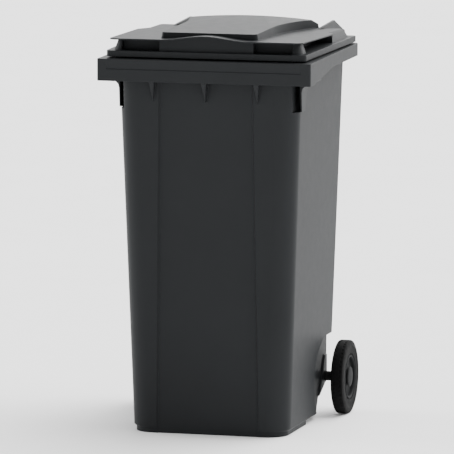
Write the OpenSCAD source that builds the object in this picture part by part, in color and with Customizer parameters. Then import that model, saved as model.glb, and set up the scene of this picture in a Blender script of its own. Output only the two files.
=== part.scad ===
// Two-wheeled refuse container with a hinged lid, 240 litre class.
// X is the width, the front faces -Y, +Z is up. The origin is on the ground,
// in the middle of the overall width and depth.

/* [Container] */
// Overall width, which is the width of the comb rim
rim_w = 580; // [540:1:620]
// Front of the comb rim to the back of the handle
overall_d = 740; // [700:1:800]
// Front to back of the comb rim
rim_d = 552.5; // [520:0.5:580]
// Top of the comb rim above the ground
rim_top = 1003; // [900:1:1100]
// Width of the tapered wall at the front bottom edge
wall_w_low = 426; // [400:1:440]
// Width of the tapered wall at the front, carried up to the rim
wall_w_high = 494; // [480:1:500]
// How much wider the wall is at the back than at the front
wall_flare = 32; // [0:1:40]
// Radius of the front vertical corners
front_corner_r = 60; // [40:1:75]
// Radius of the rear vertical corners
rear_corner_r = 36; // [25:1:50]
// Wall thickness of the container
wall = 4; // [3:0.1:6]
// Depth of the recessed panel in the front wall
panel_recess = 7.5; // [3:0.5:12]
// Height of the foot ring under the floor
foot_h = 12; // [8:1:20]

/* [Comb rim] */
// Height of the skirt at the front
skirt_front_h = 59; // [50:1:70]
// Height of the skirt at the sides and back
skirt_side_h = 34; // [25:1:45]
// Thickness of the rim's top plate and skirt
rim_t = 4; // [3:0.1:6]
// Height of the end cheeks of the comb pocket below the skirt
cheek_drop = 76; // [50:1:100]

/* [Lid] */
// Width of the lid's flange at the front
lid_w = 542; // [500:1:550]
// How much wider the flange is at the back than at the front
lid_flare = 28; // [0:1:34]
// Height of the flange band
flange_h = 16; // [10:1:20]
// Gap between the rim and the flange
lid_gap = 4; // [2:0.5:8]
// Height of the front lip above the top of the flange
lip_h = 33; // [26:1:40]
// How much the lid's top falls from the lip to the back
lid_fall = 13; // [0:1:20]
// Height of the raised centre panel above the lip
panel_h = 19; // [10:1:24]
// Wall thickness of the lid
lid_wall = 3.5; // [2.5:0.1:5]
// Reach of the finger recesses under the front lip
grip_depth = 42; // [30:1:50]

/* [Handle and hinge] */
// Diameter of the handle bar
handle_dia = 30; // [26:1:36]
// Height of the handle bar's axis above the rim
hinge_rise = 4; // [-10:1:12]
// Distance between the outer faces of the lid's hinge arms
arm_span = 408; // [360:1:440]
// Thickness of a hinge arm
arm_t = 7; // [5:0.5:9]
// Diameter of the hinge pins
hinge_pin_dia = 16; // [12:1:18]
// Height of the hinge arm's crest above the hinge axis
arm_crest = 47; // [40:1:55]

/* [Wheels] */
// Wheel diameter
wheel_dia = 200; // [180:1:220]
// Width of the tyre
tyre_w = 35; // [30:1:38]
// Outer face of the tyre from the middle of the container
wheel_out = 288.5; // [286:0.5:289.5]
// Place of the axle behind the middle
axle_y = 108; // [95:1:115]
// Diameter of the steel axle
axle_dia = 20; // [18:1:22]
// Diameter of the plastic sleeve on the axle
sleeve_dia = 26; // [24:1:30]
// Radius of the tyre's seat on the hub
tyre_seat_r = 60; // [56:1:64]
// Radius of the hub cap
hub_cap_r = 28; // [24:1:32]

/* [Clearances] */
// Radial clearance of a pin or shaft in its bore
running_gap = 0.05; // [0.03:0.01:0.1]
// Clearance between neighbouring faces that don't guide each other
face_gap = 0.3; // [0.2:0.05:0.5]

/* [Hidden] */
$fn = 64;

plastic = [0.20, 0.21, 0.22];
rubber = [0.08, 0.08, 0.085];
steel = [0.62, 0.63, 0.64];

eps = 0.01;
through = 1000;
arc_steps = 10;

// Front and back of the comb rim
rim_front = -overall_d / 2;
rim_back = rim_front + rim_d;

// Tapered wall: front and back faces at the bottom edge and at the rim
wall_front_low = rim_front + 43;
wall_front_high = rim_front + 25;
wall_back_low = rim_back - 46;
wall_back_high = rim_back - 26;
wall_bottom = foot_h;
edge_chamfer = 6;

// Recessed front panel
recess_w_low = 272;
recess_w_high = 246;
recess_slope = 6;
recess_top = rim_top - 30;

// Wheel recess and axle channel, as sections in the YZ plane
arch_r = 115;
arch_y = axle_y - 48;
arch_z = 105;
arch_top = arch_z + arch_r;
arch_in = 214;
channel_low = 9;
channel_top = 157;
channel_slope = 0.6;

// Axle bosses and ribs
wheel_r = wheel_dia / 2;
axle_r = axle_dia / 2;
axle_bore_r = axle_r + running_gap;
boss_r = axle_r + 8;
boss_out = 218;
rib_places = [45, 135];
rib_t = 6;

// Comb pocket at the front corners
cheek_out = wall_w_high / 2 + 2;
cheek_front = rim_front + 76;
cheek_back = rim_front + 142;
cheek_low = rim_top - skirt_front_h - cheek_drop;
pocket_in = cheek_out - 20;
pocket_back = cheek_front + 44;
gusset_h = 52;
gusset_w = 14;

// Hinge and handle
handle_r = handle_dia / 2;
hinge_y = overall_d / 2 - handle_r;
hinge_z = rim_top + hinge_rise;
arm_out = arm_span / 2;
arm_in = arm_out - arm_t;
bracket_out = arm_in - face_gap * 2;
bracket_in = bracket_out - 44;
bracket_t = 6;
hinge_pin_r = hinge_pin_dia / 2;
hinge_bore_r = hinge_pin_r + running_gap;
pin_head_r = hinge_pin_r + 4.5;
pin_head_t = 4.5;
pin_reach = 44;

// Lid levels and outline
flange_low = rim_top + lid_gap;
flange_top = flange_low + flange_h;
lid_front = rim_front + 20;
lid_back = rim_back - 5;
lip_z = flange_top + lip_h;
panel_top = lip_z + panel_h;
lid_tilt = atan(lid_fall / (lid_back - lid_front));
ledge = 14;
lip_front = lid_front - 6;
lip_t = 3.5;
lip_hump = 11;
lip_hump_w = 236;
lip_hw = lid_w / 2 - 9;
grip_in = 126;
pillar_w = 30;
pillar_back = lid_front + 66;
grip_side_back = rim_front + 348;
lid_corner_r = 16;
lid_panel_front = lid_front + 40;
lid_panel_hw = 132;
lid_panel_hw_back = 186;
lid_panel_back = lid_back - 12;
panel_crown = 10;

// Wheel: the tyre's middle plane, and the hub's faces from the container's middle
wheel_mid = wheel_out - tyre_w / 2;
hub_in = wheel_mid - tyre_w / 2 - 4;
hub_out = wheel_out - 1;
hub_boss_r = axle_r + 9;
hub_rim_in = tyre_seat_r - 7;
hub_web_t = 5;
spoke_count = 6;
axle_end = hub_out - 4;
washer_t = 2;
washer_r = sleeve_dia / 2 + 4;
washer_in = hub_in - face_gap - washer_t;
latch_x = wheel_mid - 4;
latch_w = 9.4;
groove_r = axle_r - 2.5;
groove_w = latch_w + 2 * face_gap;
latch_low = groove_r + face_gap;
latch_high = latch_low + 12.5;
housing_h = 34;
spring_low = latch_high + 0.1;
spring_high = housing_h - 0.1;
spring_r = 3.4;
spring_wire_r = 0.6;
spring_turns = 5;

// Straight-line blend between two values
function mix(a, b, t) = a + (b - a) * t;
// Points of an arc about (x, y), from angle a0 to a1
function arc(x, y, r, a0, a1) =
    [for (i = [0:arc_steps]) let (a = mix(a0, a1, i / arc_steps)) [x + r * cos(a), y + r * sin(a)]];
// Right half of a rounded trapezoid: half widths at the front and back, faces, corner radii
function half_outline(hf, hb, yf, yb, rf, rb) =
    let (slope = (hb - hf) / (yb - yf), lean = atan(slope),
         cf = hf + rf * slope - rf / cos(lean),
         cb = hb - rb * slope - rb / cos(lean))
    concat(arc(cf, yf + rf, rf, -90, -lean), arc(cb, yb - rb, rb, -lean, 90));
function mirrored(points) =
    concat(points, [for (i = [len(points) - 1:-1:0]) [-points[i].x, points[i].y]]);
function outline(hf, hb, yf, yb, rf, rb) = mirrored(half_outline(hf, hb, yf, yb, rf, rb));

// Stands a YZ section up and extrudes it from x0 to x1
module along_x(x0, x1) {
    translate([x0, 0, 0]) rotate([90, 0, 90]) linear_extrude(height = x1 - x0) children();
}

// The same shape on both sides of the container
module both_sides() {
    children();
    mirror([1, 0, 0]) children();
}

module slab(z, h, points) {
    translate([0, 0, z]) linear_extrude(height = h) polygon(points);
}

// ---------------------------------------------------------------- container

// Outline of the tapered wall at height z, moved inwards by inset
function wall_outline(z, inset) =
    let (t = (z - wall_bottom) / (rim_top - wall_bottom),
         hw = mix(wall_w_low, wall_w_high, t) / 2 - inset)
    outline(hw, hw + wall_flare / 2,
            mix(wall_front_low, wall_front_high, t) + inset,
            mix(wall_back_low, wall_back_high, t) - inset,
            front_corner_r - inset, rear_corner_r - inset);

module wall_block(inset, z0, z1, chamfer) {
    hull() {
        slab(z0, eps, wall_outline(z0, inset + chamfer));
        slab(z0 + chamfer, eps, wall_outline(z0 + chamfer, inset));
        slab(z1 - eps, eps, wall_outline(z1, inset));
    }
}

// Recessed front panel as a block with slanted sides, grown by the wall for the inside
module front_recess(grow) {
    lean = atan((wall_front_high - wall_front_low) / (rim_top - wall_bottom));
    h = recess_top - wall_bottom;
    translate([0, wall_front_low, wall_bottom]) rotate([-lean, 0, 0]) hull() {
        for (side = [[-20, recess_slope], [panel_recess + grow, 0]])
            translate([0, side[0], -30]) rotate([90, 0, 0]) linear_extrude(height = eps)
                polygon([for (s = [-1, 1], z = s < 0 ? [0, h + 30] : [h + 30, 0])
                    [s * (mix(recess_w_low, recess_w_high, z / h) / 2 + grow
                          + (side[0] < 0 ? recess_slope * (20 + panel_recess) / panel_recess : 0)), z]]);
    }
}

// Wheel recess beside the floor, grown by the wall for the inside
module wheel_recess(grow) {
    along_x(arch_in - grow, through) {
        translate([arch_y, arch_z]) circle(r = arch_r + grow, $fn = 96);
        translate([arch_y, -through]) square([through, through + arch_top + grow]);
    }
}

// Line of the channel's slanted front wall at height z
function channel_y(z) = channel_low + channel_slope * z;

// Open channel across the back of the floor, where the axle lies
module axle_channel(grow) {
    shift = grow * sqrt(1 + channel_slope * channel_slope);
    along_x(-through, through)
        polygon([[channel_y(-1) - shift, -1], [channel_y(channel_top + grow) - shift, channel_top + grow],
                 [through, channel_top + grow], [through, -1]]);
}

// Rib that carries the axle in the channel, from x0 to x1
module axle_rib(x0, x1) {
    along_x(x0, x1) {
        translate([axle_y, wheel_r]) circle(r = boss_r);
        polygon([[channel_y(channel_top) - 1, channel_top + 1], [channel_y(wheel_r - 45) - 1, wheel_r - 45],
                 [axle_y, wheel_r - boss_r], [axle_y + boss_r, wheel_r], [axle_y + boss_r, channel_top + 1]]);
    }
}

module foot_ring() {
    foot_back = rim_front + 270;
    difference() {
        slab(0, foot_h + 1, wall_outline(wall_bottom, edge_chamfer));
        slab(-1, foot_h + 3, wall_outline(wall_bottom, edge_chamfer + 12));
        translate([-through / 2, foot_back, -1]) cube([through, through, foot_h + 3]);
        front_recess(0);
    }
    // Inner part of the ring behind the recessed panel
    translate([-recess_w_low / 2, wall_front_low + panel_recess + edge_chamfer, 0])
        cube([recess_w_low, 10, foot_h + 1]);
}

// Skirt and top plate of the comb rim
module comb_rim() {
    skirt_low = rim_top - skirt_front_h;
    side_low = rim_top - skirt_side_h;
    difference() {
        slab(skirt_low, skirt_front_h, outline(rim_w / 2, rim_w / 2, rim_front, rim_back, 6, 12));
        slab(skirt_low - 1, skirt_front_h + 1 - rim_t,
             outline(rim_w / 2 - rim_t, rim_w / 2 - rim_t, rim_front + rim_t, rim_back - rim_t, 3, 8));
        // Lower edge of the skirt rises from the front towards the middle of each side
        along_x(-through / 2, through / 2)
            polygon([[rim_front + 40, skirt_low - 1], [rim_front + 40, skirt_low],
                     [rim_front + 256, side_low], [rim_back + 10, side_low], [rim_back + 10, skirt_low - 1]]);
        // Upper part of the front face leans back to a ledge, short of the corners
        along_x(-rim_w / 2 + 26, rim_w / 2 - 26)
            polygon([[rim_front - 1, rim_top - 27], [rim_front + 1.7, rim_top - 27],
                     [rim_front, rim_top + 1], [rim_front - 1, rim_top + 1]]);
        wall_block(wall / 2, skirt_low - 2, rim_top + 1, 0);
    }
    // Webs between the wall and the skirt
    both_sides() for (y = [rim_front + 205, rim_front + 320, rim_front + 435])
        translate([wall_w_high / 2 - 2, y, side_low + 6])
            cube([rim_w / 2 - rim_t / 2 - wall_w_high / 2 + 2, 3, skirt_side_h - 6 - rim_t / 2]);
    for (x = [-110, 110])
        translate([x, wall_back_high - 6, side_low + 6])
            cube([3, rim_back - rim_t / 2 - wall_back_high + 6, skirt_side_h - 6 - rim_t / 2]);
}

// End cheek of the comb pocket, which sweeps out to the skirt at its top
module pocket_cheek() {
    skirt_low = rim_top - skirt_front_h;
    flare_r = rim_w / 2 - cheek_out;
    intersection() {
        translate([0, through / 2, 0]) rotate([90, 0, 0]) linear_extrude(height = through) {
            polygon([[cheek_out - rim_t, cheek_low], [cheek_out, cheek_low],
                     [cheek_out, skirt_low - flare_r * 0.6],
                     [cheek_out + 2.5, skirt_low - flare_r * 0.35],
                     [cheek_out + flare_r * 0.3, skirt_low - flare_r * 0.12],
                     [rim_w / 2 - rim_t, skirt_low + 3],
                     [rim_w / 2 - rim_t, skirt_low + 8], [cheek_out - rim_t, skirt_low + 8]]);
        }
        along_x(0, through)
            polygon([[cheek_front, cheek_low - 1], [cheek_front - 14, rim_top - rim_t / 2],
                     [cheek_back, rim_top - rim_t / 2], [cheek_back, skirt_low - 10],
                     [cheek_back - 30, cheek_low - 1]]);
    }
}

// Wedge that stiffens the front of the rim, seen as a triangle pointing down
module gusset(x) {
    skirt_low = rim_top - skirt_front_h;
    top = rim_top - rim_t / 2;
    tip = skirt_low - gusset_h;
    slope = gusset_w / 2 / gusset_h;
    intersection() {
        translate([x, through / 2, 0]) rotate([90, 0, 0]) linear_extrude(height = through)
            polygon([[-0.8, tip], [0.8, tip], [gusset_w / 2, skirt_low], [gusset_w / 2, top],
                     [-gusset_w / 2, top], [-gusset_w / 2, skirt_low]]);
        along_x(x - gusset_w, x + gusset_w)
            polygon([[wall_front_high + 12, tip], [wall_front_high - 2, tip],
                     [rim_front + rim_t / 2, skirt_low + 1], [rim_front + rim_t / 2, top],
                     [wall_front_high + 12, top]]);
    }
}

// Side plate of the handle, from the back wall out to the bar
module handle_plate(x0, x1) {
    along_x(x0, x1)
        polygon([[wall_back_high - 8, rim_top - 110], [wall_back_high - 8, rim_top - 1],
                 [rim_back - 1, rim_top - 1], [hinge_y - 3, hinge_z + handle_r - 2],
                 [hinge_y - 3, hinge_z - handle_r + 2], [rim_back + 14, rim_top - 52]]);
}

module handle() {
    both_sides() {
        handle_plate(bracket_out - bracket_t, bracket_out);
        handle_plate(bracket_in, bracket_in + bracket_t);
        // Top web between the two plates
        along_x(bracket_in + 1, bracket_out - 1)
            polygon([[rim_back - 3, rim_top - rim_t - 1], [rim_back - 3, rim_top - 2],
                     [rim_back - 1, rim_top - 2], [hinge_y - 3, hinge_z + handle_r - 3],
                     [hinge_y - 3, hinge_z + handle_r - 3 - rim_t], [rim_back - 1, rim_top - rim_t - 2]]);
    }
    along_x(-bracket_out, bracket_out) translate([hinge_y, hinge_z]) circle(r = handle_r);
}

module container_body() color(plastic) {
    difference() {
        union() {
            difference() {
                wall_block(0, wall_bottom, rim_top, edge_chamfer);
                front_recess(0);
                both_sides() wheel_recess(0);
                axle_channel(0);
                // Comb pockets cut into the front corners
                both_sides() translate([pocket_in, -through, cheek_low])
                    cube([through, through + pocket_back, rim_top - rim_t - cheek_low]);
            }
            comb_rim();
            both_sides() pocket_cheek();
            for (x = [-142, 0, 142]) gusset(x);
            foot_ring();
            handle();
        }
        // Inside of the container
        difference() {
            wall_block(wall, wall_bottom + wall, rim_top + 2, 0);
            front_recess(wall);
            both_sides() wheel_recess(wall);
            axle_channel(wall);
            both_sides() translate([pocket_in - wall, -through, cheek_low - wall])
                cube([through, through + pocket_back + wall, rim_top - cheek_low + 2 * wall - rim_t]);
        }
        both_sides() along_x(bracket_out - pin_reach, bracket_out + 1)
            translate([hinge_y, hinge_z]) circle(r = hinge_bore_r);
    }
    difference() {
        union() {
            both_sides() axle_rib(arch_in - 2, boss_out);
            both_sides() for (x = rib_places) axle_rib(x - rib_t / 2, x + rib_t / 2);
        }
        along_x(-through / 2, through / 2) translate([axle_y, wheel_r]) circle(r = axle_bore_r);
    }
}

// ---------------------------------------------------------------- axle

module axle() color(steel) {
    difference() {
        union() {
            along_x(-axle_end + 1, axle_end - 1) translate([axle_y, wheel_r]) circle(r = axle_r);
            along_x(-axle_end, axle_end) translate([axle_y, wheel_r]) circle(r = axle_r - 1);
        }
        // Grooves for the wheel latches
        both_sides() along_x(latch_x - groove_w / 2, latch_x + groove_w / 2)
            translate([axle_y, wheel_r]) difference() {
                circle(r = axle_r + 1);
                circle(r = groove_r);
            }
    }
}

module ring_on_axle(x0, x1, r) {
    along_x(x0, x1) translate([axle_y, wheel_r]) difference() {
        circle(r = r);
        circle(r = axle_bore_r);
    }
}

module axle_sleeve() color(plastic)
    ring_on_axle(boss_out + face_gap, washer_in - face_gap, sleeve_dia / 2);

module thrust_washer() color(steel) ring_on_axle(washer_in, washer_in + washer_t, washer_r);

// ---------------------------------------------------------------- hinge pins

module hinge_pin() color(plastic) translate([0, hinge_y, hinge_z]) rotate([0, 90, 0]) {
    translate([0, 0, bracket_out - pin_reach + 1])
        cylinder(r = hinge_pin_r, h = arm_out + face_gap - bracket_out + pin_reach - 1 + eps);
    translate([0, 0, arm_out + face_gap]) cylinder(r = pin_head_r, h = pin_head_t - 1);
    translate([0, 0, arm_out + face_gap + pin_head_t - 1])
        cylinder(r1 = pin_head_r, r2 = pin_head_r - 2, h = 1);
}

// ---------------------------------------------------------------- lid

function lid_outline(inset, corner) =
    outline(lid_w / 2 - inset, (lid_w + lid_flare) / 2 - inset, lid_front + inset, lid_back - inset,
            corner, corner - 6);

// Tilts its children, drawn with the lip at height 0, into the lid's top plane
module on_lid_top() {
    translate([0, lid_front, lip_z]) rotate([-lid_tilt, 0, 0]) translate([0, -lid_front, 0]) children();
}

// Dome of the lid above the flange, moved inwards by the lid's wall for the inside
module lid_dome(inset) {
    hull() {
        slab(flange_top - lid_wall - eps, eps, lid_outline(ledge + inset, 26));
        on_lid_top() slab(-6 - inset, eps, lid_outline(ledge + 10 + inset, 22));
        on_lid_top() slab(-eps - inset, eps, lid_outline(ledge + 18 + inset, 18));
    }
}

// Finger recesses under the lip, at the front and round the corners
module grip_recess(grow) {
    below = flange_top - grow;
    intersection() {
        both_sides() {
            translate([grip_in - grow, lid_front - 20, below])
                cube([lip_hw - pillar_w - grip_in + 2 * grow, grip_depth + 20 + grow, lip_h + 20]);
            translate([lip_hw - grip_depth - grow, pillar_back - grow, below])
                cube([through, grip_side_back - pillar_back + 2 * grow, lip_h + 20]);
        }
        on_lid_top() translate([-through / 2, -through / 2, -through - lip_t + grow])
            cube([through, through, through]);
    }
}

// Height of the lip above the lid's top: a smooth hump in the middle
function hump(x) = abs(x) < lip_hump_w / 2 ? lip_hump * (1 + cos(360 * x / lip_hump_w)) / 2 : 0;

// Line across the lid, that far below the lip's top: flat, with the hump in the middle
function lip_line(hw, below) =
    concat([[-hw, -below]],
           [for (i = [-16:16]) let (x = lip_hump_w / 2 * i / 16) [x, hump(x) - below]],
           [[hw, -below]]);

// Extrudes an XZ section from y0 to y1
module along_y(y0, y1) {
    translate([0, y1, 0]) rotate([90, 0, 0]) linear_extrude(height = y1 - y0) children();
}

// Thin lip that overhangs the flange, with a block under its hump between the finger recesses
module lip() {
    lip_reach = lip_hw + 10;
    under = lip_line(lip_reach, lip_t);
    on_lid_top() {
        intersection() {
            slab(-lip_t - 1, lip_hump + lip_t + 2, outline(lip_hw, lip_hw + 9, lip_front, grip_side_back, 22, 10));
            along_y(lip_front - 1, grip_side_back + 1)
                polygon(concat(lip_line(lip_reach, 0), [for (i = [len(under) - 1:-1:0]) under[i]]));
        }
        along_y(lid_front + ledge, lid_panel_front + 3)
            polygon(concat(lip_line(grip_in + 2, lip_t / 2), [[grip_in + 2, -lip_h - 1], [-grip_in - 2, -lip_h - 1]]));
    }
}

// End of the lip on the side, which arches down to the flange behind the corner recess
module lip_end() {
    arch = lip_h - lip_t - lid_fall / 2;
    back = grip_side_back + 36;
    intersection() {
        along_x(lip_hw - 30, lip_hw + 9)
            polygon(concat(arc(grip_side_back - arch, flange_top - 1, arch, 0, 90),
                           [[grip_side_back - arch, lip_z], [back, lip_z], [back, flange_top - 1]]));
        slab(flange_top - 2, lip_h + 4,
             [[lip_hw - 30, grip_side_back - arch - 1], [lip_hw + 4, grip_side_back - arch - 1],
              [lip_hw + 4, grip_side_back], [lip_hw - 12, back], [lip_hw - 30, back]]);
        on_lid_top() translate([-through / 2, -through / 2, -through])
            cube([through, through, through]);
    }
}

// Plan outline of the raised panel: straight, then flaring to the back
function panel_outline(inset) =
    mirrored(concat(arc(lid_panel_hw - 12 - inset, lid_panel_front + 12 + inset, 12, -90, 0),
        [for (i = [0:8]) let (t = i / 8)
            [mix(lid_panel_hw, lid_panel_hw_back, t * t) - inset,
             mix(lid_panel_front + 190, lid_panel_back - inset, t)]]));

// Cross-section of the raised panel at y, with its top at height z and crowned by sag
module panel_section(y, z, sag) {
    hw = lid_panel_hw_back + 2;
    translate([0, y, 0]) rotate([90, 0, 0]) linear_extrude(height = eps)
        polygon(concat([[hw, flange_top], [-hw, flange_top]],
                       [for (i = [-6:6]) [hw * i / 6, z - sag * i * i / 36]]));
}

// Raised panel: flat and lower at the front, crowned at the back
module raised_panel(inset) {
    intersection() {
        slab(lip_z - 20, panel_h + 21, panel_outline(inset));
        hull() {
            panel_section(lid_panel_front + eps, panel_top - 4 - inset, 0);
            panel_section(lid_panel_back - 30, panel_top - inset, panel_crown);
            panel_section(lid_panel_back, panel_top - 12 - inset, panel_crown);
        }
    }
}

// Hinge arm: level along its crest, then falling to the eye
module hinge_arm() {
    crest_y = hinge_y - 93;
    along_x(arm_in, arm_out) {
        translate([hinge_y, hinge_z]) circle(r = handle_r);
        polygon([[lid_back - 90, flange_top], [lid_back - 90, lip_z - lid_fall],
                 [lid_back - 70, hinge_z + arm_crest - 5], [crest_y, hinge_z + arm_crest],
                 [hinge_y + 6, hinge_z + handle_r - 1.2], [hinge_y, hinge_z - handle_r],
                 [rim_back + 12, rim_top + 9], [lid_back - 8, flange_low + 3]]);
    }
}

module lid() color(plastic) {
    difference() {
        union() {
            slab(flange_low, flange_h, lid_outline(0, lid_corner_r));
            difference() {
                union() {
                    lid_dome(0);
                    raised_panel(0);
                }
                grip_recess(0);
            }
            lip();
            both_sides() lip_end();
            both_sides() hinge_arm();
        }
        // Hollow under the flange and the dome
        slab(flange_low - 1, flange_h + 1 - lid_wall, lid_outline(lid_wall, lid_corner_r - lid_wall));
        difference() {
            union() {
                lid_dome(lid_wall);
                raised_panel(lid_wall);
            }
            grip_recess(lid_wall);
        }
        both_sides() along_x(arm_in - 1, arm_out + 1)
            translate([hinge_y, hinge_z]) circle(r = hinge_bore_r);
    }
}

// Four rubber buffers in the flange, which rest on the rim
module lid_buffers() color(rubber) {
    h = flange_top - lid_wall - rim_top - 0.2;
    both_sides() for (at = [[lid_w / 2 - 30, lid_front + 12], [(lid_w + lid_flare) / 2 - 13, lid_back - 40]])
        translate([at.x, at.y, rim_top + 0.2]) cylinder(r = 5.5, h = h);
}

// ---------------------------------------------------------------- wheels

// Turns a profile of [radius, x] about the axle
module about_axle() {
    translate([0, axle_y, wheel_r]) rotate([0, 90, 0]) rotate_extrude($fn = 96) children();
}

module tyre() color(rubber) {
    w = tyre_w / 2;
    seat = tyre_seat_r + face_gap / 3;
    about_axle() polygon([[seat, wheel_mid - w + 6], [seat + 4, wheel_mid - w + 1.5],
        [wheel_r - 16, wheel_mid - w], [wheel_r - 6, wheel_mid - w + 0.6], [wheel_r - 1.6, wheel_mid - w + 2.4],
        [wheel_r, wheel_mid - w + 5.5], [wheel_r, wheel_mid + w - 5.5],
        [wheel_r - 1.6, wheel_mid + w - 2.4], [wheel_r - 6, wheel_mid + w - 0.6], [wheel_r - 16, wheel_mid + w],
        [seat + 4, wheel_mid + w - 1.5], [seat, wheel_mid + w - 6]]);
}

module latch_pocket(grow, low) {
    translate([latch_x - latch_w / 2 - grow, axle_y - latch_w / 2 - grow, wheel_r + low])
        cube([latch_w + 2 * grow, latch_w + 2 * grow, housing_h - low]);
}

module wheel_hub() color(plastic) {
    web_x = hub_out - 15;
    difference() {
        union() {
            about_axle() {
                translate([0, hub_in]) square([hub_boss_r, hub_out - 5 - hub_in]);
                translate([0, web_x]) square([tyre_seat_r - 1, hub_web_t]);
                polygon([[hub_rim_in, wheel_mid - 12], [tyre_seat_r, wheel_mid - 12],
                         [tyre_seat_r, wheel_mid + 12], [tyre_seat_r - 1.5, hub_out - 0.5],
                         [tyre_seat_r - 3, hub_out], [hub_rim_in + 2, hub_out], [hub_rim_in, hub_out - 3]]);
            }
            // Ribs behind the web, from the boss to the rim
            for (i = [0:spoke_count - 1]) translate([0, axle_y, wheel_r])
                rotate([360 / spoke_count * (i + 0.5), 0, 0]) translate([0, -axle_y, -wheel_r])
                    along_x(wheel_mid - 12, web_x + 1) translate([axle_y - 2, wheel_r + hub_boss_r - 2])
                        square([4, hub_rim_in - hub_boss_r + 4]);
            // Housing of the latch
            translate([latch_x - latch_w / 2 - 3.3, axle_y - latch_w / 2 - 3.3, wheel_r])
                cube([latch_w + 6.6, latch_w + 6.6, housing_h + 3]);
        }
        about_axle() translate([0, hub_in - 1]) square([axle_bore_r, hub_out - hub_in + 2]);
        latch_pocket(face_gap, 0);
    }
}

module hub_cap() color(plastic) {
    seat_x = hub_out - 5 + 0.1;
    about_axle() polygon([[0, seat_x + 4.5], [hub_boss_r + face_gap, seat_x + 4.5],
        [hub_boss_r + face_gap, seat_x - 4], [hub_boss_r + 2, seat_x - 4], [hub_boss_r + 2, seat_x],
        [hub_cap_r, seat_x + 1.5], [hub_cap_r, seat_x + 3.5], [hub_cap_r - 3, seat_x + 5.4],
        [hub_cap_r / 2, seat_x + 6.5], [0, seat_x + 7]]);
}

module axle_latch() color(plastic)
    translate([latch_x - latch_w / 2, axle_y - latch_w / 2, wheel_r + latch_low])
        cube([latch_w, latch_w, latch_high - latch_low]);

// Coil spring as a tube swept along a helix
module latch_spring() color(steel) {
    sides = 8;
    per_turn = 14;
    rings = spring_turns * per_turn;
    rise = spring_high - spring_low - 2 * spring_wire_r;
    points = [for (i = [0:rings], k = [0:sides - 1])
        let (a = 360 * i / per_turn, b = 360 * k / sides, r = spring_r + spring_wire_r * cos(b))
        [r * cos(a), r * sin(a), spring_low + spring_wire_r + rise * i / rings + spring_wire_r * sin(b)]];
    faces = concat([[for (k = [0:sides - 1]) k]],
        [for (i = [0:rings - 1], k = [0:sides - 1])
            let (n = (k + 1) % sides) [i * sides + k, (i + 1) * sides + k, (i + 1) * sides + n, i * sides + n]],
        [[for (k = [sides - 1:-1:0]) rings * sides + k]]);
    translate([latch_x, axle_y, wheel_r]) polyhedron(points, faces, convexity = 6);
}

module left() mirror([1, 0, 0]) children();

container_body();
axle();
left() axle_sleeve();  // left_axle_sleeve
axle_sleeve();  // right_axle_sleeve
left() thrust_washer();  // left_thrust_washer
thrust_washer();  // right_thrust_washer
left() hinge_pin();  // left_hinge_pin
hinge_pin();  // right_hinge_pin
lid();
lid_buffers();
left() tyre();  // left_tyre
tyre();  // right_tyre
left() wheel_hub();  // left_wheel_hub
wheel_hub();  // right_wheel_hub
left() hub_cap();  // left_hub_cap
hub_cap();  // right_hub_cap
left() axle_latch();  // left_axle_latch
axle_latch();  // right_axle_latch
left() latch_spring();  // left_latch_spring
latch_spring();  // right_latch_spring
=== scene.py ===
from math import atan2, cos, pi, radians, sin

import bpy
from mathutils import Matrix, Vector


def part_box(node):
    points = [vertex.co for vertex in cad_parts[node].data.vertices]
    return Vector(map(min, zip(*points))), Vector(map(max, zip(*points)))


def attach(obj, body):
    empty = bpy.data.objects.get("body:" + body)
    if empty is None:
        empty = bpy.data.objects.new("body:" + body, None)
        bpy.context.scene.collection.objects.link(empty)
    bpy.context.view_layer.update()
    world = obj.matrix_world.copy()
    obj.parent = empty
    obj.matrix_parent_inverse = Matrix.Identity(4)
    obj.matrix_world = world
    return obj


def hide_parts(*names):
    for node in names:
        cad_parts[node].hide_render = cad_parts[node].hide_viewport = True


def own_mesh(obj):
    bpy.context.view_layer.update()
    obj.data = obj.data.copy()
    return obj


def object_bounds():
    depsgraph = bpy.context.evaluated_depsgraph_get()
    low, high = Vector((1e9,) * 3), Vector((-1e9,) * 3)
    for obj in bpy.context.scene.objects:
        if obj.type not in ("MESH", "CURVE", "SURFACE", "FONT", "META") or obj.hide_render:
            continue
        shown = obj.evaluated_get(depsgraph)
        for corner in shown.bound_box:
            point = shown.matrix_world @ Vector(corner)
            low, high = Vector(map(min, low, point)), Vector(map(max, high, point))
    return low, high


bl_info = {
    "name": "Refuse Container",
    "version": (1, 0, 0),
    "blender": (4, 5, 0),
    "location": "3D View > Sidebar > Container",
    "description": "Models and finishes a two-wheeled refuse container around its packed frame",
    "category": "Object",
}

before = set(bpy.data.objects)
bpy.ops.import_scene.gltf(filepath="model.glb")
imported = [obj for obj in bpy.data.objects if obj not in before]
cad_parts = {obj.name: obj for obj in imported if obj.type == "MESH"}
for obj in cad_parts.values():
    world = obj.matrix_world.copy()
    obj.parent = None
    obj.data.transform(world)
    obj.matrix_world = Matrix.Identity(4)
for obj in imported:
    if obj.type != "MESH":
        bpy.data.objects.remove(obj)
CAD_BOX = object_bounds()

SIDES = ("left", "right")
SMALL_PARTS = {
    "axle": "steel",
    "thrust_washer": "steel",
    "axle_sleeve": "fitting",
    "hinge_pin": "fitting",
    "axle_latch": "fitting",
    "lid_buffers": "buffer",
}

# Vertices closer than this are welded, in metres, and faces flatter than this are joined
WELD_DISTANCE = 0.0002
FLAT_ANGLE = radians(1)
# Edges sharper than the first are rounded, and those flatter than the others are shaded smooth
EDGE_ANGLE = radians(25)
SMOOTH_ANGLE = radians(35)
COIL_SMOOTH_ANGLE = radians(50)
# A rounded edge's vertices lie no further than this many radii off its node's shape
STRAY_RADII = 1.2

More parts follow.
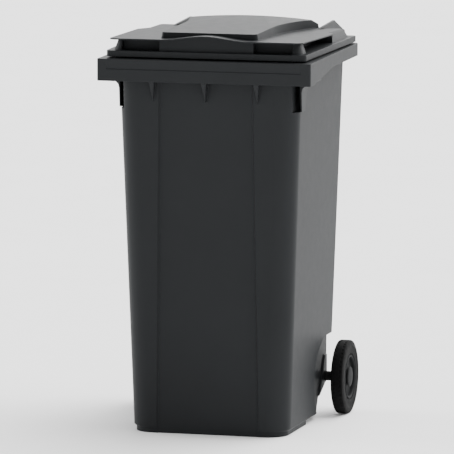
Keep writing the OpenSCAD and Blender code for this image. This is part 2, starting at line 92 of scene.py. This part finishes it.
# The lid's raised panel, in metres: where it starts behind the lip's front edge, how far it
# rises above the lip, how far the lip's hump rises at most, the panel's half widths, how far its
# top's edge stands above the lid's top at least, and how much the lid's top falls in each metre
PANEL_FRONT = 0.046
PANEL_RISE = 0.019
HUMP_RISE = 0.013
PANEL_HALF_FRONT = 0.132
PANEL_HALF_BACK = 0.192
PANEL_STEP = 0.006
LID_SLOPE = 0.025
# How far apart two places may be and still count as the same line across the lid
LINE_WIDTH = 0.001

# The tyre, in metres: radius of its seat on the hub, how deep the faces between the blocks may lie
# below the tread, width of the slope round each groove, radius of the edges, and the slack in
# telling its vertices apart
TYRE_SEAT = 0.0601
TREAD_DEPTH = 0.0008
TREAD_SLOPE = 0.0009
TYRE_EDGE = 0.0005
TYRE_SLACK = 0.0001

# Width of the floor and how far the camera sees, in metres
FLOOR_SIZE = 120
VIEW_DEPTH = 200


# ---------------------------------------------------------------- settings

class ContainerFinish(bpy.types.PropertyGroup):
    """Colours and surface of the moulded plastic, rubber and steel."""

    plastic: bpy.props.FloatVectorProperty(
        name="Plastic", description="Colour of the container and the lid",
        subtype="COLOR", size=3, min=0, max=1, default=(0.020, 0.0212, 0.0224))
    fittings: bpy.props.FloatVectorProperty(
        name="Fittings", description="Colour of the hubs, caps, sleeves, pins and latches",
        subtype="COLOR", size=3, min=0, max=1, default=(0.017, 0.0175, 0.018))
    rubber: bpy.props.FloatVectorProperty(
        name="Rubber", description="Colour of the tyres and buffers",
        subtype="COLOR", size=3, min=0, max=1, default=(0.0045, 0.0045, 0.0046))
    steel: bpy.props.FloatVectorProperty(
        name="Steel", description="Colour of the zinc-plated axle, washers and springs",
        subtype="COLOR", size=3, min=0, max=1, default=(0.55, 0.56, 0.57))
    gloss: bpy.props.FloatProperty(
        name="Plastic roughness", description="Roughness of the moulded plastic",
        min=0, max=1, default=0.42)
    sheen: bpy.props.FloatProperty(
        name="Plastic sheen", description="Refractive index of the moulded plastic's surface",
        min=1, max=2, default=1.115)
    fitting_gloss: bpy.props.FloatProperty(
        name="Fitting roughness", description="Roughness of the hubs, caps, sleeves, pins and latches",
        min=0, max=1, default=0.6)
    fitting_sheen: bpy.props.FloatProperty(
        name="Fitting sheen", description="Refractive index of the fittings' surface",
        min=1, max=2, default=1.09)
    grain: bpy.props.FloatProperty(
        name="Grain", description="Size of the fine grain that the mould leaves",
        subtype="DISTANCE", unit="LENGTH", min=0.0001, max=0.01, default=0.0009)


class ContainerEdges(bpy.types.PropertyGroup):
    """Radii of the soft edges that moulding leaves."""

    body: bpy.props.FloatProperty(
        name="Body edges", description="Radius of the container's edges",
        subtype="DISTANCE", unit="LENGTH", min=0.0002, max=0.003, default=0.0013)
    lid: bpy.props.FloatProperty(
        name="Lid edges", description="Radius of the lid's edges",
        subtype="DISTANCE", unit="LENGTH", min=0.0002, max=0.003, default=0.0009)
    wheels: bpy.props.FloatProperty(
        name="Wheel edges", description="Radius of the hubs' and caps' edges",
        subtype="DISTANCE", unit="LENGTH", min=0.0002, max=0.002, default=0.0007)
    panel_lean: bpy.props.FloatProperty(
        name="Panel lean", description="How far the raised panel's flanks lean inwards at the front",
        subtype="DISTANCE", unit="LENGTH", min=0, max=0.02, default=0.003)


class ContainerTyres(bpy.types.PropertyGroup):
    """Sizes of the tyres' tread."""

    blocks: bpy.props.IntProperty(
        name="Tread blocks", description="Blocks round each shoulder of a tyre",
        min=12, max=96, default=48)
    crown: bpy.props.FloatProperty(
        name="Crown", description="Width of the plain band in the middle of the tread",
        subtype="DISTANCE", unit="LENGTH", min=0.004, max=0.02, default=0.011)
    groove: bpy.props.FloatProperty(
        name="Groove", description="Depth of the grooves between the blocks",
        subtype="DISTANCE", unit="LENGTH", min=0.0003, max=0.003, default=0.0012)


class ContainerStage(bpy.types.PropertyGroup):
    """Camera, lights and floor."""

    azimuth: bpy.props.FloatProperty(
        name="Azimuth", description="How far the camera stands to the right of the front",
        subtype="ANGLE", unit="ROTATION", default=radians(14.5))
    elevation: bpy.props.FloatProperty(
        name="Elevation", description="Angle of the camera above the horizon",
        subtype="ANGLE", unit="ROTATION", default=radians(7.97))
    distance: bpy.props.FloatProperty(
        name="Distance", description="Distance of the camera from the point it looks at",
        subtype="DISTANCE", unit="LENGTH", min=1, max=40, default=15.49)
    lens: bpy.props.FloatProperty(
        name="Lens", description="Focal length of the camera on a 36 mm sensor, in millimetres",
        min=20, max=900, default=458.13)
    target: bpy.props.FloatVectorProperty(
        name="Target", description="The point that the camera looks at",
        subtype="XYZ", unit="LENGTH", size=3, default=(-0.00629, -0.09375, 0.52687))
    floor: bpy.props.FloatVectorProperty(
        name="Floor", description="Colour of the floor",
        subtype="COLOR", size=3, min=0, max=1, default=(0.95, 0.95, 0.95))
    sky: bpy.props.FloatProperty(
        name="Sky", description="Strength of the even light from all round",
        min=0, max=5, default=0.8)
    key: bpy.props.FloatProperty(
        name="Key", description="Strength of the broad light from the right and behind",
        min=0, max=20, default=6.0)
    rear: bpy.props.FloatProperty(
        name="Rear", description="Strength of the light from behind that grazes the lid",
        min=0, max=20, default=2.5)
    fill: bpy.props.FloatProperty(
        name="Fill", description="Strength of the weak light from the left",
        min=0, max=20, default=3.0)


# ---------------------------------------------------------------- modelling tools

def select_only(obj):
    """Makes obj the one selected and active object."""
    bpy.ops.object.select_all(action="DESELECT")
    bpy.context.view_layer.objects.active = obj
    obj.select_set(True)


def select_vertices(obj, wanted):
    """In edit mode, selects the vertices of obj for which wanted(position) is true."""
    bpy.ops.mesh.select_mode(type="VERT")
    bpy.ops.mesh.select_all(action="DESELECT")
    bpy.ops.object.mode_set(mode="OBJECT")
    for vertex in obj.data.vertices:
        vertex.select = wanted(vertex.co)
    bpy.ops.object.mode_set(mode="EDIT")


def select_faces(obj, wanted):
    """In edit mode, selects the faces of obj for which wanted(centre) is true."""
    bpy.ops.mesh.select_mode(type="FACE")
    bpy.ops.mesh.select_all(action="DESELECT")
    bpy.ops.object.mode_set(mode="OBJECT")
    for face in obj.data.polygons:
        face.select = wanted(face.center)
    bpy.ops.object.mode_set(mode="EDIT")


def apply_modifier(obj, kind, **settings):
    """Adds a modifier to the active object and applies it at once."""
    bpy.ops.object.modifier_add(type=kind)
    modifier = obj.modifiers[-1]
    for name, value in settings.items():
        setattr(modifier, name, value)
    bpy.ops.object.modifier_apply(modifier=modifier.name)


def copy_node(node, name):
    """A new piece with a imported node's shape, welded and with its flat faces joined."""
    select_only(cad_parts[node])
    bpy.ops.object.duplicate()
    piece = bpy.context.object
    piece.name = name
    piece.data.name = name
    bpy.ops.object.mode_set(mode="EDIT")
    bpy.ops.mesh.select_all(action="SELECT")
    bpy.ops.mesh.remove_doubles(threshold=WELD_DISTANCE)
    bpy.ops.mesh.dissolve_limited(angle_limit=FLAT_ANGLE)
    bpy.ops.object.mode_set(mode="OBJECT")
    return piece


def pull_in(piece, shape, reach):
    """Brings every vertex that lies further than reach from the shape back to its surface."""
    strays = [vertex.index for vertex in piece.data.vertices
              if (shape.closest_point_on_mesh(vertex.co)[1] - vertex.co).length > reach]
    group = piece.vertex_groups.new(name="strays")
    group.add(strays, 1, "REPLACE")
    apply_modifier(piece, "SHRINKWRAP", target=shape, vertex_group=group.name)


def soften(piece, radius, node=None):
    """Rounds the active piece's sharp edges, keeps flat faces flat and, given a node, its shape."""
    apply_modifier(piece, "BEVEL", width=radius, segments=2, limit_method="ANGLE",
                   angle_limit=EDGE_ANGLE, use_clamp_overlap=False, loop_slide=True)
    if node:
        pull_in(piece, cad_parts[node], STRAY_RADII * radius)
    bpy.ops.object.shade_smooth_by_angle(angle=SMOOTH_ANGLE)
    apply_modifier(piece, "WEIGHTED_NORMAL", keep_sharp=True)


def finish_piece(piece, body, slot, material, *nodes):
    """Gives a piece its material and body, and lets it stand for its nodes."""
    piece.data.materials.clear()
    piece.data.materials.append(material)
    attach(piece, body)
    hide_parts(*nodes)


# ---------------------------------------------------------------- materials

def new_material(name):
    """An empty material, with its node tree, shader and object coordinates."""
    material = bpy.data.materials.new(name)
    material.use_nodes = True
    tree = material.node_tree
    coordinates = tree.nodes.new("ShaderNodeTexCoord")
    return material, tree, tree.nodes["Principled BSDF"], coordinates.outputs["Object"]


def noise(tree, place, scale, detail, rough=0.5):
    """Noise over the object, with that many waves a metre."""
    node = tree.nodes.new("ShaderNodeTexNoise")
    node.inputs["Scale"].default_value = scale
    node.inputs["Detail"].default_value = detail
    node.inputs["Roughness"].default_value = rough
    tree.links.new(place, node.inputs["Vector"])
    return node.outputs["Fac"]


def spread(tree, value, low, high):
    """The noise, most of which lies between 0.3 and 0.7, spread over the range from low to high."""
    node = tree.nodes.new("ShaderNodeMapRange")
    node.inputs["From Min"].default_value = 0.3
    node.inputs["From Max"].default_value = 0.7
    node.inputs["To Min"].default_value = low
    node.inputs["To Max"].default_value = high
    tree.links.new(value, node.inputs["Value"])
    return node.outputs["Result"]


def vary_colour(tree, value, colour, amount):
    """The colour, darker and lighter by amount as the value goes from 0 to 1."""
    node = tree.nodes.new("ShaderNodeMix")
    node.data_type = "RGBA"
    node.inputs["A"].default_value = [c * (1 - amount) for c in colour] + [1]
    node.inputs["B"].default_value = [c * (1 + amount) for c in colour] + [1]
    tree.links.new(value, node.inputs["Factor"])
    return node.outputs["Result"]


def bump(tree, height, depth, strength):
    """The surface's normal with a bump of that depth, in metres."""
    node = tree.nodes.new("ShaderNodeBump")
    node.inputs["Strength"].default_value = strength
    node.inputs["Distance"].default_value = depth
    tree.links.new(height, node.inputs["Height"])
    return node.outputs["Normal"]


def moulded_plastic(name, colour, roughness, grain, ior):
    """Satin moulded plastic: fine grain, faint flow clouds and scuffs in its gloss."""
    material, tree, shader, place = new_material(name)
    clouds = spread(tree, noise(tree, place, scale=5.0, detail=4.0, rough=0.55), low=0, high=1)
    scuffs = spread(tree, noise(tree, place, scale=38.0, detail=6.0, rough=0.65),
                    low=roughness - 0.015, high=roughness + 0.025)
    fine = bump(tree, noise(tree, place, scale=1 / grain, detail=1.0), depth=0.00006, strength=0.5)
    tree.links.new(vary_colour(tree, clouds, colour, amount=0.04), shader.inputs["Base Color"])
    tree.links.new(scuffs, shader.inputs["Roughness"])
    tree.links.new(fine, shader.inputs["Normal"])
    shader.inputs["IOR"].default_value = ior
    return material


def tyre_rubber(name, colour):
    """Matt solid rubber with a dusty bloom."""
    material, tree, shader, place = new_material(name)
    bloom = spread(tree, noise(tree, place, scale=24.0, detail=5.0, rough=0.6), low=0, high=1)
    wear = spread(tree, noise(tree, place, scale=70.0, detail=3.0), low=0.7, high=0.85)
    fine = bump(tree, noise(tree, place, scale=900.0, detail=2.0), depth=0.0001, strength=0.5)
    tree.links.new(vary_colour(tree, bloom, colour, amount=0.3), shader.inputs["Base Color"])
    tree.links.new(wear, shader.inputs["Roughness"])
    tree.links.new(fine, shader.inputs["Normal"])
    shader.inputs["Specular IOR Level"].default_value = 0.06
    return material


def plated_steel(name, colour):
    """Zinc-plated steel, drawn along X, with a cloudy sheen."""
    material, tree, shader, place = new_material(name)
    stretch = tree.nodes.new("ShaderNodeMapping")
    stretch.inputs["Scale"].default_value = (0.05, 1.0, 1.0)
    tree.links.new(place, stretch.inputs["Vector"])
    drawn = noise(tree, stretch.outputs["Vector"], scale=1400.0, detail=2.0)
    clouds = spread(tree, noise(tree, place, scale=60.0, detail=4.0), low=0, high=1)
    fine = bump(tree, drawn, depth=0.00004, strength=0.4)
    tree.links.new(vary_colour(tree, clouds, colour, amount=0.12), shader.inputs["Base Color"])
    tree.links.new(spread(tree, drawn, low=0.26, high=0.42), shader.inputs["Roughness"])
    tree.links.new(fine, shader.inputs["Normal"])
    shader.inputs["Metallic"].default_value = 1.0
    return material


def finishes(scene):
    """The object's materials by use, each made once."""
    look = scene.container_finish
    made = {
        "body": lambda name: moulded_plastic(name, look.plastic, look.gloss, look.grain, look.sheen),
        "fitting": lambda name: moulded_plastic(name, look.fittings, look.fitting_gloss, look.grain,
                                                look.fitting_sheen),
        "rubber": lambda name: tyre_rubber(name, look.rubber),
        "buffer": lambda name: tyre_rubber(name, look.rubber),
        "steel": lambda name: plated_steel(name, look.steel),
    }
    names = {
        "body": "satin_polyethylene",
        "fitting": "black_fitting_plastic",
        "rubber": "solid_black_rubber",
        "buffer": "soft_black_rubber",
        "steel": "zinc_plated_steel",
    }
    return {key: bpy.data.materials.get(names[key]) or make(names[key]) for key, make in made.items()}


# ---------------------------------------------------------------- pieces

class ContainerBodyOperator(bpy.types.Operator):
    """Model the container with its comb rim and handle, with soft moulded edges"""

    bl_idname = "container.model_body"
    bl_label = "Container Body"

    def execute(self, context):
        scene = context.scene
        piece = copy_node("container_body", "container_shell")
        soften(piece, scene.container_edges.body, "container_body")
        finish_piece(piece, "container", "container_plastic", finishes(scene)["body"], "container_body")
        return {"FINISHED"}


class ContainerLidOperator(bpy.types.Operator):
    """Model the lid with its lip, raised panel and hinge arms, with soft moulded edges"""

    bl_idname = "container.model_lid"
    bl_label = "Lid"

    def execute(self, context):
        scene = context.scene
        edges = scene.container_edges
        piece = copy_node("lid", "lid_shell")
        low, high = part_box("lid")
        front = low[1] + PANEL_FRONT
        lip_height = high[2] - PANEL_RISE

        def on_panel_top(at):
            top_plane = lip_height - LID_SLOPE * (at.y - low[1])
            behind_hump = at.y > front + LINE_WIDTH or at.z > lip_height + HUMP_RISE
            on_panel = abs(at.x) < PANEL_HALF_BACK and at.y > front - LINE_WIDTH
            return on_panel and behind_hump and at.z > top_plane + PANEL_STEP

        bpy.ops.object.mode_set(mode="EDIT")
        select_vertices(piece, on_panel_top)
        bpy.ops.transform.resize(value=(1 - edges.panel_lean / PANEL_HALF_FRONT, 1, 1),
                                 center_override=(0, 0, 0))
        bpy.ops.object.mode_set(mode="OBJECT")
        soften(piece, edges.lid)
        pull_in(piece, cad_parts["lid"], edges.panel_lean + edges.lid)
        finish_piece(piece, "lid_body", "lid_plastic", finishes(scene)["body"], "lid")
        return {"FINISHED"}


class ContainerTyresOperator(bpy.types.Operator):
    """Model the solid tyres with blocks along both shoulders of the tread"""

    bl_idname = "container.model_tyres"
    bl_label = "Tyres"

    def execute(self, context):
        scene = context.scene
        rubber = finishes(scene)["rubber"]
        for side in SIDES:
            piece = self.model(scene.container_tyres, f"{side}_tyre")
            finish_piece(piece, f"{side}_wheel", "tyre_rubber", rubber, f"{side}_tyre")
        return {"FINISHED"}

    def model(self, sizes, node):
        """The tyre that stands for the node: its rings, the seat that joins them, and its tread."""
        low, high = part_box(node)
        centre = (Vector(low) + Vector(high)) / 2
        radius = (high[2] - low[2]) / 2
        half = (high[0] - low[0]) / 2
        crown = sizes.crown / 2
        # Radius and distance from the middle plane of each ring, from the crown to the seat on the hub
        rings = [(radius, half - 0.006), (radius - 0.0015, half - 0.0024), (radius - 0.006, half - 0.0006),
                 (radius - 0.016, half), (radius - 0.019, half - 0.0012), (radius - 0.033, half - 0.0012),
                 (radius - 0.036, half - 0.0016), (TYRE_SEAT, half - 0.0062)]
        bpy.ops.object.select_all(action="DESELECT")
        bpy.ops.mesh.primitive_cylinder_add(
            vertices=2 * sizes.blocks, radius=radius, depth=2 * crown, end_fill_type="NOTHING",
            location=centre, rotation=(0, pi / 2, 0))
        piece = bpy.context.object
        piece.name = f"{node}_with_tread"
        bpy.ops.object.transform_apply(location=True, rotation=True, scale=True)
        bpy.ops.object.mode_set(mode="EDIT")
        for way in (-1, 1):
            select_vertices(piece, lambda at: (at.x - centre.x) * way > crown - TYRE_SLACK)
            ring_radius, ring_place = radius, crown
            for next_radius, next_place in rings:
                bpy.ops.mesh.extrude_region_move()
                factor = next_radius / ring_radius
                bpy.ops.transform.resize(value=(1, factor, factor), center_override=centre)
                bpy.ops.transform.translate(value=(way * (next_place - ring_place), 0, 0))
                ring_radius, ring_place = next_radius, next_place
        select_vertices(piece, lambda at: (at - centre).yz.length < TYRE_SEAT + TYRE_SLACK)
        bpy.ops.mesh.select_mode(type="EDGE")
        bpy.ops.mesh.bridge_edge_loops()
        bpy.ops.mesh.select_all(action="SELECT")
        bpy.ops.mesh.normals_make_consistent(inside=False)
        self.cut_tread(piece, centre, radius, sizes)
        bpy.ops.object.mode_set(mode="OBJECT")
        soften(piece, TYRE_EDGE)
        return piece

    def cut_tread(self, piece, centre, radius, sizes):
        """Sinks every second face of both shoulder bands, so that blocks stand between them."""
        step = pi / sizes.blocks

        def in_groove(at):
            on_tread = (at - centre).yz.length > radius - TREAD_DEPTH
            on_shoulder = abs(at.x - centre.x) > sizes.crown / 2
            turn = atan2(at.z - centre.z, at.y - centre.y) + (step if at.x > centre.x else 0)
            # The added hundredth keeps a turn of whole steps from being rounded down
            return on_tread and on_shoulder and int((turn + 2 * pi) / step + 0.01) % 2 == 0

        select_faces(piece, in_groove)
        bpy.ops.mesh.inset(thickness=TREAD_SLOPE, use_individual=True)
        bpy.ops.transform.shrink_fatten(value=-sizes.groove)


class ContainerHubsOperator(bpy.types.Operator):
    """Model the ribbed hubs and their caps, with soft moulded edges"""

    bl_idname = "container.model_hubs"
    bl_label = "Hubs"

    def execute(self, context):
        scene = context.scene
        plastic = finishes(scene)["fitting"]
        for side in SIDES:
            for part, slot in (("wheel_hub", "hub_plastic"), ("hub_cap", "cap_plastic")):
                piece = copy_node(f"{side}_{part}", f"{side}_{part}_moulding")
                soften(piece, scene.container_edges.wheels, f"{side}_{part}")
                finish_piece(piece, f"{side}_wheel", slot, plastic, f"{side}_{part}")
        return {"FINISHED"}


class ContainerSpringsOperator(bpy.types.Operator):
    """Model the latch springs"""

    bl_idname = "container.model_springs"
    bl_label = "Latch Springs"

    def execute(self, context):
        steel = finishes(context.scene)["steel"]
        for side in SIDES:
            node = f"{side}_latch_spring"
            select_only(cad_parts[node])
            bpy.ops.object.duplicate()
            piece = context.object
            piece.name = f"{side}_coil_spring"
            bpy.ops.object.shade_smooth_by_angle(angle=COIL_SMOOTH_ANGLE)
            finish_piece(piece, f"{side}_wheel", "spring_steel", steel, node)
            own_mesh(piece)
        return {"FINISHED"}


class ContainerSmallPartsOperator(bpy.types.Operator):
    """Finish the axle, sleeves, washers, pins, latches and buffers"""

    bl_idname = "container.finish_small_parts"
    bl_label = "Small Parts"

    def execute(self, context):
        made = finishes(context.scene)
        for name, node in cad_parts.items():
            part = name.removeprefix("left_").removeprefix("right_")
            if part in SMALL_PARTS:
                node.data.materials.clear()
                node.data.materials.append(made[SMALL_PARTS[part]])
        return {"FINISHED"}


# ---------------------------------------------------------------- stage

def place_camera(stage):
    """The camera, looking at the target from the stage's angles and distance."""
    flat = cos(stage.elevation)
    way = Vector((sin(stage.azimuth) * flat, -cos(stage.azimuth) * flat, sin(stage.elevation)))
    place = Vector(stage.target) + stage.distance * way
    bpy.ops.object.camera_add(location=place, rotation=way.to_track_quat("Z", "Y").to_euler())
    camera = bpy.context.object
    camera.data.lens = stage.lens
    camera.data.clip_end = VIEW_DEPTH
    bpy.context.scene.camera = camera


def place_light(name, towards, spread_angle, strength):
    """A distant light that stands in the direction towards and looks spread_angle wide."""
    bpy.ops.object.light_add(type="SUN", rotation=Vector(towards).to_track_quat("Z", "Y").to_euler())
    light = bpy.context.object
    light.name = name
    light.data.angle = spread_angle
    light.data.energy = strength


class ContainerStageOperator(bpy.types.Operator):
    """Set up the floor, the sky, the soft lights and the camera"""

    bl_idname = "container.set_stage"
    bl_label = "Stage"

    def execute(self, context):
        stage = context.scene.container_stage
        bpy.ops.object.select_all(action="DESELECT")
        bpy.ops.mesh.primitive_plane_add(size=FLOOR_SIZE, location=(0, 0, CAD_BOX[0][2]))
        floor = context.object
        floor.name = "floor"
        material, tree, shader, place = new_material("pale_floor")
        speckle = spread(tree, noise(tree, place, scale=3.0, detail=3.0), low=0, high=1)
        tree.links.new(vary_colour(tree, speckle, stage.floor, amount=0.01), shader.inputs["Base Color"])
        shader.inputs["Roughness"].default_value = 0.8
        shader.inputs["Specular IOR Level"].default_value = 0.1
        floor.data.materials.append(material)
        world = bpy.data.worlds.new("pale_sky")
        world.use_nodes = True
        world.node_tree.nodes["Background"].inputs["Color"].default_value = (1, 1, 1, 1)
        world.node_tree.nodes["Background"].inputs["Strength"].default_value = stage.sky
        context.scene.world = world
        place_light("key_light", towards=(1.0, 0.9, 1.6), spread_angle=radians(70), strength=stage.key)
        place_light("rear_light", towards=(0.15, 1.0, 0.5), spread_angle=radians(60), strength=stage.rear)
        place_light("left_light", towards=(-1.0, 0.15, 0.25), spread_angle=radians(40), strength=stage.fill)
        place_camera(stage)
        return {"FINISHED"}


class ContainerPanel(bpy.types.Panel):
    """Lists the sizes, the finishes and the steps of the container"""

    bl_idname = "VIEW3D_PT_container"
    bl_label = "Refuse Container"
    bl_space_type = "VIEW_3D"
    bl_region_type = "UI"
    bl_category = "Container"

    def draw(self, context):
        for group in GROUPS:
            settings = getattr(context.scene, group)
            box = self.layout.box()
            for name in settings.__annotations__:
                box.prop(settings, name)
        for step in STEPS:
            self.layout.operator(step.bl_idname)


GROUPS = {
    "container_finish": ContainerFinish,
    "container_edges": ContainerEdges,
    "container_tyres": ContainerTyres,
    "container_stage": ContainerStage,
}
STEPS = (ContainerBodyOperator, ContainerLidOperator, ContainerTyresOperator, ContainerHubsOperator,
         ContainerSpringsOperator, ContainerSmallPartsOperator, ContainerStageOperator)


def register():
    for cls in (*GROUPS.values(), *STEPS, ContainerPanel):
        bpy.utils.register_class(cls)
    for name, group in GROUPS.items():
        setattr(bpy.types.Scene, name, bpy.props.PointerProperty(type=group))


def unregister():
    for name in GROUPS:
        delattr(bpy.types.Scene, name)
    for cls in reversed((*GROUPS.values(), *STEPS, ContainerPanel)):
        bpy.utils.unregister_class(cls)


def main():
    register()
    bpy.ops.container.model_body()
    bpy.ops.container.model_lid()
    bpy.ops.container.model_tyres()
    bpy.ops.container.model_hubs()
    bpy.ops.container.model_springs()
    bpy.ops.container.finish_small_parts()
    bpy.ops.container.set_stage()


if __name__ == "__main__":
    main()
